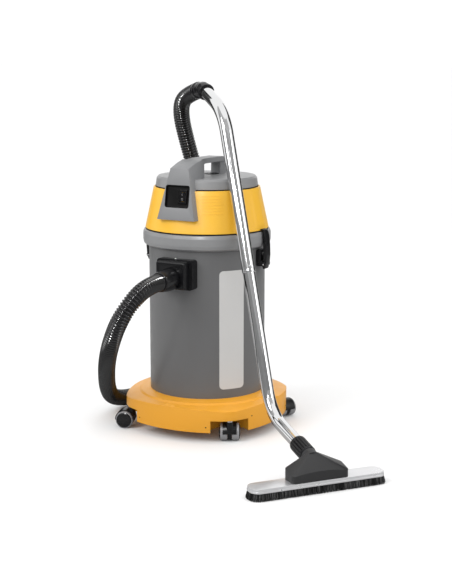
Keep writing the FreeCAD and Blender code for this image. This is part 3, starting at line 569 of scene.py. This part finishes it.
PANEL_TILT = math.radians(9.53)
ROCKER_REST = math.radians(7)
RECESS_MIDDLE = 694
PANEL_FRONT = -182 + (RECESS_MIDDLE - 628) * math.tan(PANEL_TILT)
PANEL = Matrix.Translation(Vector((0, PANEL_FRONT, RECESS_MIDDLE)) * MM) \
    @ Matrix.Rotation(-PANEL_TILT, 4, "X")
FACING = Matrix.Rotation(math.radians(90), 4, "X")
softened("switch_bezel", ROOT, 0.8, 3, material="recess_black")
softened("switch_rocker", "rocker", 0.7, 3)
rocker_place = PANEL @ Matrix.Translation(Vector((14.7, 4, 0)) * MM) \
    @ Matrix.Rotation(ROCKER_REST, 4, "X")
mesh = bmesh.new()
upper = rocker_place @ Matrix.Translation(Vector((0, 0, 6.6)) * MM) @ FACING
lower = rocker_place @ Matrix.Translation(Vector((0, 0, -6.6)) * MM) @ FACING
add_plate(mesh, [(-0.6, -3), (0.6, -3), (0.6, 3), (-0.6, 3)], 1.1, 1.75, upper)
add_lathe(mesh, [(2.0, 1.1), (3.0, 1.1), (3.0, 1.75), (2.0, 1.75)], lower, 32)
finish_mesh("rocker_marks", "rocker", "gloss_black_plastic", mesh, material="mark_white")

mesh = bmesh.new()
outer = rounded([(0.4, -20, 3), (29, -20, 3), (29, 20, 3), (0.4, 20, 3)])
inner = rounded([(1.6, -18.8, 2), (27.8, -18.8, 2), (27.8, 18.8, 2), (1.6, 18.8, 2)])
frame_place = PANEL @ FACING
rings = [[mesh.verts.new(frame_place @ (Vector((a, b, level)) * MM)) for a, b in outline]
         for outline, level in ((outer, -8.2), (outer, -3.3), (inner, -2.9), (inner, -8.2))]
for first, second in zip(rings, rings[1:] + rings[:1]):
    bridge(mesh, first, second)
bevelled(finish_mesh("rocker_frame", ROOT, "gloss_black_plastic", mesh), 0.3, 2)

# ---------------------------------------------------------------- hose inlet

softened("inlet_housing", ROOT, 2.2, 4)
screw_place = Matrix.Translation(Vector((0, -180, 518)) * MM)
mesh = bmesh.new()
add_lathe(mesh, rounded([(0, 0, 0), (4, 0, 0), (4, 1.2, 0.6), (1.4, 2, 1), (0, 2, 0)],
                        closed=False), screw_place, 32)
finish_mesh("inlet_screw_round", ROOT, "bright_steel", mesh, ("inlet_screw",))


INLET_PLACE = Matrix.Translation(Vector((0, 0, 465)) * MM) @ FACING
lathe("inlet_sleeve", ROOT, "gloss_black_plastic", rounded([
    (23, 176, 0), (25.8, 176, 0.4), (25.8, 214.2, 0), (31.2, 214.2, 1), (32, 217, 1.5),
    (32, 226, 8), (31.2, 242, 12), (29.6, 260, 10), (27.8, 272, 3), (26, 275, 0.8),
    (23, 275, 0)]), ("inlet_cuff",), INLET_PLACE, 192)

# ---------------------------------------------------------------- wand


LOWER_RADIUS, UPPER_RADIUS = 17.5, 19.0


def bar(name, slot, points, radius_at, replaces, sides=64, side_shape=None):
    mesh = bmesh.new()
    add_tube(mesh, points, radius_at, sides, side_shape)
    return finish_mesh(name, ROOT, slot, mesh, replaces)


lower_line = filleted([WAND_FOOT_END, WAND_LOW, WAND_JOINT + WAND_RUN * 0.030], [0.130], 40)
bar("lower_wand_tube", "chromed_tube", lower_line, lambda length: LOWER_RADIUS,
    ("lower_wand",))
upper_line = filleted([WAND_JOINT, WAND_HIGH, WAND_TOP + (WAND_TOP - WAND_HIGH).normalized()
                       * 0.020], [0.150], 40)
upper_line = [upper_line[0] + WAND_RUN * offset
              for offset in (0, 0.0015, 0.003, 0.006, 0.010)] + upper_line[1:]


def upper_radius(length):
    """A rolled bead at the mouth that takes the lower tube."""
    if length < 0.0005:
        return 18.7
    return UPPER_RADIUS + 0.45 * (1 - step_between(length, 0.0035, 0.008))


bar("upper_wand_tube", "chromed_tube", upper_line, upper_radius, ("upper_wand",))

ACROSS = (WAND_PLACE.to_3x3() @ Vector((-math.sin(math.radians(67.5)), 0,
                                        math.cos(math.radians(67.5))))).normalized()
button_place = Matrix.Translation(WAND_JOINT + WAND_RUN * 0.014) \
    @ Z_AXIS.rotation_difference(ACROSS).to_matrix().to_4x4()
lathe("lock_button", "wand_lock", "bright_steel", rounded([
    (0, 14, 0), (4, 14, 0), (4, 20.6, 1.6), (2.4, 21.8, 1.6), (0, 22, 0)], closed=False),
    ("wand_button",), button_place, 40)
collar_mesh = bmesh.new()
add_lathe(collar_mesh, rounded([(4.35, 18.3, 0), (6.0, 18.3, 0), (5.8, 19.35, 0.3),
                                (4.5, 19.5, 0.3)]), button_place, 40)
finish_mesh("lock_button_rim", ROOT, "bright_steel", collar_mesh)

cuff_line = resampled(filleted([WAND_TOP, CUFF_BEND, CUFF_END], [0.050], 16), 0.0008)
CUFF_LENGTH = sum((b - a).length for a, b in zip(cuff_line, cuff_line[1:]))


def cuff_radius(length):
    """A collar at each end and two shallow steps between them."""
    share = length / CUFF_LENGTH
    mouth = 1 - step_between(length, 0.0085, 0.0105)
    tail = step_between(length, CUFF_LENGTH - 0.013, CUFF_LENGTH - 0.011)
    waist = step_between(share, 0.35, 0.42) * (1 - step_between(share, 0.62, 0.68))
    edge = step_between(length, 0.0, 0.0012) * (1 - step_between(
        length, CUFF_LENGTH - 0.0012, CUFF_LENGTH))
    return 22.6 + 2.2 * mouth + 2.4 * tail - 0.8 * waist - 0.8 * (1 - edge)


def cuff_flats(angle, length):
    """Flat grips round the middle."""
    if not 0.0105 < length < CUFF_LENGTH - 0.013:
        return 0.0
    return 0.7 * (abs(math.cos(4 * angle)) ** 6) - 0.35


bar("wand_elbow", "gloss_black_plastic", cuff_line, cuff_radius, ("wand_cuff",), 96, cuff_flats)

# ---------------------------------------------------------------- floor tool

TOOL = "floor_tool"
NECK = (WAND_LOW - WAND_ENTRY).normalized()
NECK_TURN = Z_AXIS.rotation_difference(NECK).to_matrix().to_4x4()
grip_place = Matrix.Translation(WAND_ENTRY - NECK * 0.066) @ NECK_TURN


def grip_ribs(angle, radius, height):
    """Lengthwise ribs that run out towards both ends of the collar."""
    if radius < 19:
        return radius
    valley = 0.5 - 0.5 * math.cos(18 * angle)
    depth = 3.2 * step_between(height, -5, 3) * (1 - step_between(height, 49, 55))
    return radius - depth * valley ** 2


lathe("tool_grip", TOOL, "charcoal_plastic", rounded([
    (17.6, -8.5, 0), (22.2, -8.5, 1), (22.8, -5, 1), (23.5, -1, 2), (23.5, 7, 0), (23.5, 21, 0),
    (23.5, 35, 0), (23.5, 49, 1), (23.0, 55, 1.5), (22.2, 56.8, 0.8), (17.6, 56.8, 0.4)]),
    ("tool_collar",), grip_place, 288, grip_ribs, material="gloss_black_plastic")


# the hood is stretched over its foot, its shoulder, which rises towards the back and has an
# arched front lip, and the low end of the round neck
HOOD_DEPTH, HOOD_LENGTH, HOOD_CORNER = 27, 80, 11
NECK_LEAN, NECK_RISE = 77.5, 0.22


def neck_ring(distance, radius):
    """Circle square to the neck, as places on the wand's plane."""
    tilt = math.radians(NECK_LEAN)
    circle = []
    for k in range(64):
        depth = radius * math.cos(2 * math.pi * k / 64)
        circle.append((distance + depth * math.cos(tilt),
                       77.0 + (distance - 46) * NECK_RISE - depth * math.sin(tilt),
                       radius * math.sin(2 * math.pi * k / 64)))
    return circle


outline = rounded([(-HOOD_DEPTH, -HOOD_LENGTH, HOOD_CORNER),
                   (HOOD_DEPTH, -HOOD_LENGTH, HOOD_CORNER),
                   (HOOD_DEPTH, HOOD_LENGTH, HOOD_CORNER),
                   (-HOOD_DEPTH, HOOD_LENGTH, HOOD_CORNER)])
outline += [(-HOOD_DEPTH, HOOD_LENGTH * share / 10) for share in range(-8, 9)]
mesh = bmesh.new()
spots = []
for depth, side in outline:
    arch = 8 * (1 - (side / HOOD_LENGTH) ** 2) * max(0.0, -depth / HOOD_DEPTH)
    rise = 50 + 12 * (depth + HOOD_DEPTH) / (2 * HOOD_DEPTH) + arch
    spots += [(depth, 32, side), (depth, rise, side)]
spots += neck_ring(34, 20.6)
for spot in spots:
    mesh.verts.new(on_wand(*spot))
bmesh.ops.convex_hull(mesh, input=mesh.verts)
bmesh.ops.delete(mesh, geom=[v for v in mesh.verts if not v.link_faces], context="VERTS")
bmesh.ops.dissolve_limit(mesh, angle_limit=math.radians(1.0), verts=mesh.verts,
                         edges=mesh.edges)
bevelled(finish_mesh("tool_hood", TOOL, "charcoal_plastic", mesh, ("tool_body",), sharp=30),
         4.5, 5, 16)

mesh = bmesh.new()
rings = [[mesh.verts.new(on_wand(*spot)) for spot in neck_ring(distance, radius)]
         for distance, radius in ((26, 20.4), (32, 20.7), (40, 21.2), (57, 21.2), (57.6, 20.4),
                                  (57.6, 17.8), (26, 17.8))]
for first, second in zip(rings, rings[1:] + rings[:1]):
    bridge(mesh, first, second)
finish_mesh("tool_neck", TOOL, "charcoal_plastic", mesh)

STRIP_HALF_WIDTH, STRIP_HALF_LENGTH, STRIP_CORNER = 30, 190, 24


def strip_outline(inset, corner):
    """Outline of the floor tool's strip, drawn in by inset, millimetres."""
    half_width, half_length = STRIP_HALF_WIDTH - inset, STRIP_HALF_LENGTH - inset
    return rounded([(-half_width, -half_length, corner), (half_width, -half_length, corner),
                    (half_width, half_length, corner), (-half_width, half_length, corner)],
                   steps=14)


strip_mesh = bmesh.new()
for inset, low, high in ((0.0, 20.2, 25.0), (1.3, 24.6, 31.9)):
    add_plate(strip_mesh, strip_outline(inset, STRIP_CORNER), low, high, WAND_PLACE)
bevelled(finish_mesh("strip_bar", TOOL, "strip_aluminium", strip_mesh, ("tool_strip",)), 0.7)

# bristles: tufts in rows round the edge of the strip, the outer ones splayed
OUTER_STALKS, INNER_STALKS, TUFT_RADIUS, PALE_SHARE = 17, 11, 1.7, 0.22
random.seed(7)
tufts = bmesh.new()
pale_tufts = bmesh.new()


def add_bristle(mesh, foot, lean, length, thick):
    """One tapered stalk, from the strip down to its tip."""
    tip = foot + Vector((lean.x, lean.y, -length))
    across = Vector((thick, 0, 0))
    other = Vector((0, thick, 0))
    top = [mesh.verts.new(WAND_PLACE @ ((foot + a * across + b * other) * MM))
           for a, b in ((-1, -1), (1, -1), (1, 1), (-1, 1))]
    end = [mesh.verts.new(WAND_PLACE @ ((tip + (a * across + b * other) * 0.5) * MM))
           for a, b in ((-1, -1), (1, -1), (1, 1), (-1, 1))]
    bridge(mesh, top, end)
    mesh.faces.new(top[::-1])
    mesh.faces.new(end)


for row, (inset, splay, spacing) in enumerate(((3.0, 4.2, 4.6), (7.0, 2.0, 4.6),
                                               (11.0, 0.2, 5.0))):
    corners = [Vector((*point, 0)) for point in strip_outline(inset, STRIP_CORNER - inset)]
    loop = resampled(corners + [corners[0]], spacing)
    for before, here, after in zip(loop[-2:-1] + loop, loop, loop[1:]):
        tangent = (after - before).normalized()
        outward = Vector((tangent.y, -tangent.x, 0))
        sway = tangent * random.uniform(-0.9, 0.9) + outward * random.uniform(-0.7, 0.7)
        for k in range(OUTER_STALKS if row == 0 else INNER_STALKS):
            angle = random.uniform(0, 2 * math.pi)
            reach = TUFT_RADIUS * math.sqrt(random.random())
            offset = tangent * (reach * math.cos(angle)) + outward * (reach * math.sin(angle))
            lean = outward * (splay + random.uniform(-0.8, 0.8)) + sway + offset * 0.35
            mesh = pale_tufts if row == 0 and random.random() < PALE_SHARE else tufts
            add_bristle(mesh, here + Vector((0, 0, 20.4)) + offset, lean,
                        20.2 - random.uniform(0, 1.3), random.uniform(0.26, 0.40))
finish_mesh("bristle_rows", TOOL, "bristle_fibre", tufts, ("tool_bristles",))
finish_mesh("bristle_rows_pale", TOOL, "bristle_fibre", pale_tufts, material="bristle_pale")

CORE_CORNER = 22
core = bmesh.new()
loops = []
for inset, level in ((6.0, 20.3), (4.5, 2.5), (13.0, 2.5), (13.0, 20.3)):
    loops.append([core.verts.new(WAND_PLACE @ (Vector((a, b, level)) * MM))
                  for a, b in strip_outline(inset, CORE_CORNER)])
for first, second in zip(loops, loops[1:] + loops[:1]):
    bridge(core, first, second)
finish_mesh("bristle_core", TOOL, "bristle_fibre", core)

# ---------------------------------------------------------------- latches

LEVER_HALF_WIDTH, CLAW_HALF_WIDTH = 12.6, 11

for side, turn in (("right", 0), ("left", 180)):
    body = "latch_" + side
    place = Matrix.Rotation(math.radians(turn), 4, "Z") @ FACING
    lever = rounded([
        (188, 497, 3), (188, 489, 3), (190.2, 480, 2.5), (195.5, 479, 2.5), (200.5, 497, 10),
        (202.5, 520, 14), (201.5, 550, 16), (198.5, 575, 10), (194.5, 588.4, 2.5),
        (189.2, 588.4, 1), (189.2, 578, 2), (190.5, 562, 6), (191, 545, 10), (191, 525, 8),
        (190.2, 508, 6)])
    plate("latch_arm_" + side, body, "black_plastic", lever,
          -LEVER_HALF_WIDTH, LEVER_HALF_WIDTH, place, ("latch_lever_" + side,), 1.4)
    hook = rounded([(181.4, 588.1, 0.5), (194.3, 588.1, 0.6), (194.2, 591.5, 2),
                    (189.5, 594.6, 3), (181.6, 594.6, 1.2)])
    plate("latch_claw_" + side, body, "black_plastic", hook,
          -CLAW_HALF_WIDTH, CLAW_HALF_WIDTH, place, ("latch_hook_" + side,), 1.0)

mesh = bmesh.new()
for turn in (0, 180):
    place = Matrix.Rotation(math.radians(turn), 4, "Z") @ FACING
    ear = rounded([(171, 487.3, 1), (197.5, 487.3, 6), (199.8, 494, 6), (197.5, 500.8, 5),
                   (186, 502, 4), (185.3, 531, 4), (181, 534.2, 3), (171, 534.2, 1)])
    for low, high in ((13.6, 16.9), (-16.9, -13.6)):
        add_plate(mesh, ear, low, high, place)
    block = rounded([(171, 503, 1), (184.8, 503, 3), (184.8, 533.8, 3), (171, 533.8, 1)])
    add_plate(mesh, block, -13.4, 13.4, place)
bevelled(finish_mesh("latch_mounts", ROOT, "black_plastic", mesh, ("latch_brackets",)), 1.0, 2)

mesh = bmesh.new()
for turn in (0, 180):
    for level, reach, half in ((493, 193.5, 18.2), (524, 186.2, 8.0)):
        place = Matrix.Rotation(math.radians(turn), 4, "Z") \
            @ Matrix.Translation(Vector((reach, 0, level)) * MM) @ FACING
        add_lathe(mesh, rounded([(0, -half, 0), (2.5, -half, 0.8), (2.5, half, 0.8),
                                 (0, half, 0)], closed=False), place, 32)
finish_mesh("latch_rods", ROOT, "bright_steel", mesh, ("latch_pins",))

# ---------------------------------------------------------------- casters
# each corner has the stem's azimuth and the direction in which the wheels trail

STEM_CIRCLE, TRAIL, WHEEL_RADIUS = 232, 19, 25.5
CORNERS = {"front": (-45, 118.5), "right": (45, -26.7), "back": (135, 100),
           "left": (-135, 200)}
TREAD = rounded([(16, 6.8, 0.4), (24.6, 6.8, 1), (25.5, 8.2, 1.2), (25.5, 24.2, 2),
                 (24.6, 26.2, 1), (23.2, 27.0, 0.4), (22.8, 25.8, 0), (16, 25.8, 0)])
CAP = rounded([(4.1, 20, 0), (15.9, 20, 0), (15.9, 25.9, 0), (22.3, 25.9, 0.3),
               (22.3, 27.2, 0.8), (19.5, 28.7, 4), (11, 30.4, 8), (0, 31.1, 0), (0, 29.6, 0),
               (4.1, 29.6, 0)], closed=False)
for corner, (azimuth, trail) in CORNERS.items():
    turn = math.radians(azimuth)
    stand = Matrix.Translation(Vector((math.cos(turn), math.sin(turn), 0)) * STEM_CIRCLE * MM) \
        @ Matrix.Rotation(math.radians(trail), 4, "Z")
    axle = stand @ Matrix.Translation(Vector((TRAIL, 0, WHEEL_RADIUS)) * MM)
    softened("caster_hood_" + corner, "caster_" + corner, 1.6, 3)
    for side, tip in (("a", -90), ("b", 90)):
        body = "wheel_%s_%s" % (corner, side)
        place = axle @ Matrix.Rotation(math.radians(tip), 4, "X")
        node = "caster_wheel_%s_%s" % (corner, side)
        lathe("tread_%s_%s" % (corner, side), body, "wheel_plastic", TREAD, (node,), place, 72,
              material="wheel_tread")
        lathe("hub_%s_%s" % (corner, side), body, "wheel_plastic", CAP, (), place, 72)

# ---------------------------------------------------------------- studio


def stage_mesh(name, mesh, brightness):
    """A plain matt thing of the studio."""
    data = bpy.data.meshes.new(name)
    mesh.to_mesh(data)
    mesh.free()
    data.materials.append(surface(name + "_paper", (brightness,) * 3, 0.9, 0.004, 0.01,
                                  relief=0.02))
    piece = bpy.data.objects.new(name, data)
    bpy.context.scene.collection.objects.link(piece)
    return piece


def ground(name, level, brightness):
    mesh = bmesh.new()
    bmesh.ops.create_grid(mesh, x_segments=1, y_segments=1, size=60)
    bmesh.ops.translate(mesh, verts=mesh.verts, vec=(0, 0, level))
    return stage_mesh(name, mesh, brightness)


# the floor that the camera sees, and a greyer one that lights the object from below
floor = ground("floor", 0, 0.92)
floor.visible_diffuse = False
floor.visible_glossy = False
floor.visible_shadow = False
bounce = ground("bounce", -0.001, 0.42)
bounce.visible_camera = False

world = bpy.data.worlds.new("studio")
world.use_nodes = True
world.node_tree.nodes["Background"].inputs["Color"].default_value = (1, 1, 1, 1)
world.node_tree.nodes["Background"].inputs["Strength"].default_value = 1.10
bpy.context.scene.world = world


def softbox(name, azimuth, height, distance, width, tall, power):
    """Area light round the object at an azimuth seen from the camera's side."""
    turn = math.radians(CAMERA_TURN - 90 + azimuth)
    lamp = bpy.data.lights.new(name, "AREA")
    lamp.shape = "RECTANGLE"
    lamp.size = width
    lamp.size_y = tall
    lamp.energy = power
    holder = bpy.data.objects.new(name, lamp)
    holder.location = (distance * math.cos(turn), distance * math.sin(turn), height)
    aim = Vector((0, 0, 0.45)) - holder.location
    holder.rotation_euler = aim.to_track_quat("-Z", "Y").to_euler()
    bpy.context.scene.collection.objects.link(holder)
    return holder


def flag(name, start, end, low, high, brightness, distance=3.0):
    """Upright curved card that shows in reflections only, between two azimuths seen from
    the camera's side."""
    mesh = bmesh.new()
    count = max(2, round(abs(end - start) / 4))
    foot, head = [], []
    for k in range(count + 1):
        turn = math.radians(CAMERA_TURN - 90 + start + (end - start) * k / count)
        for row, height in ((foot, low), (head, high)):
            row.append(mesh.verts.new((distance * math.cos(turn), distance * math.sin(turn),
                                       height)))
    bridge(mesh, foot, head, closed=False)
    card = stage_mesh(name, mesh, brightness)
    card.visible_camera = False
    card.visible_diffuse = False
    card.visible_shadow = False


softbox("key", -52, 2.2, 2.8, 1.5, 1.7, 38)
softbox("fill", 62, 1.7, 2.8, 0.8, 1.8, 14)
softbox("spark", -14, 2.3, 2.7, 0.25, 0.25, 70).visible_diffuse = False
flag("flag_left", -148, -122, 0, 3.6, 0.03)
flag("flag_near", -92, 60, 0, 1.8, 0.24)
flag("flag_near_middle", -92, 60, 1.8, 3.2, 0.42)
flag("flag_near_top", -92, 60, 3.2, 6.5, 0.62)
flag("flag_right", 100, 148, 0, 3.6, 0.03)
